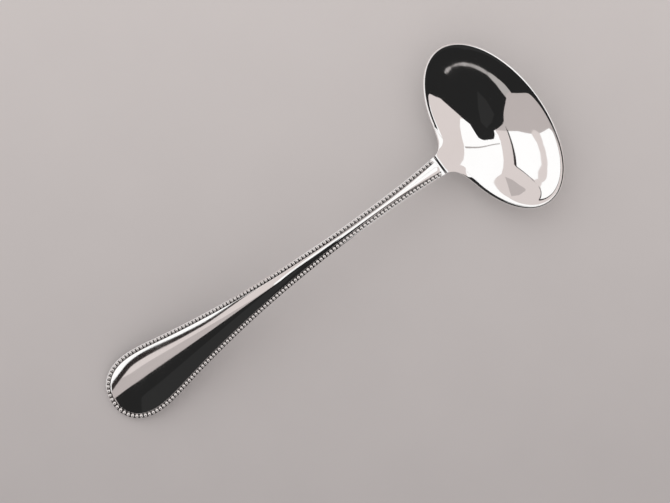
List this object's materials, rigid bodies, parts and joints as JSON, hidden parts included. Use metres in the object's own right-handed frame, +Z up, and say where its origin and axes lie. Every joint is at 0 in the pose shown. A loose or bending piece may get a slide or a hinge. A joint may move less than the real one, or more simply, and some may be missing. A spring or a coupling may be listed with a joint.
{
  "type": "sauce ladle",
  "caption": "Mirror-polished sauce ladle with a transverse oval bowl and an arched, tapering handle edged by a struck bead border, for serving sauce at table.",
  "frame": {"origin": "middle of the small ground flat under the bowl, on which the ladle rests", "axes": "+X along the handle from its tip towards the bowl, +Y across the bowl, +Z up out of the table"},
  "size_m": [0.1774, 0.064, 0.0243],
  "materials": {
    "polished_steel": "mirror polished"
  },
  "bodies": {
    "root": {"bowl": "polished_steel", "handle": "polished_steel", "braze_seam": "polished_steel"}
  },
  "joints": []
}
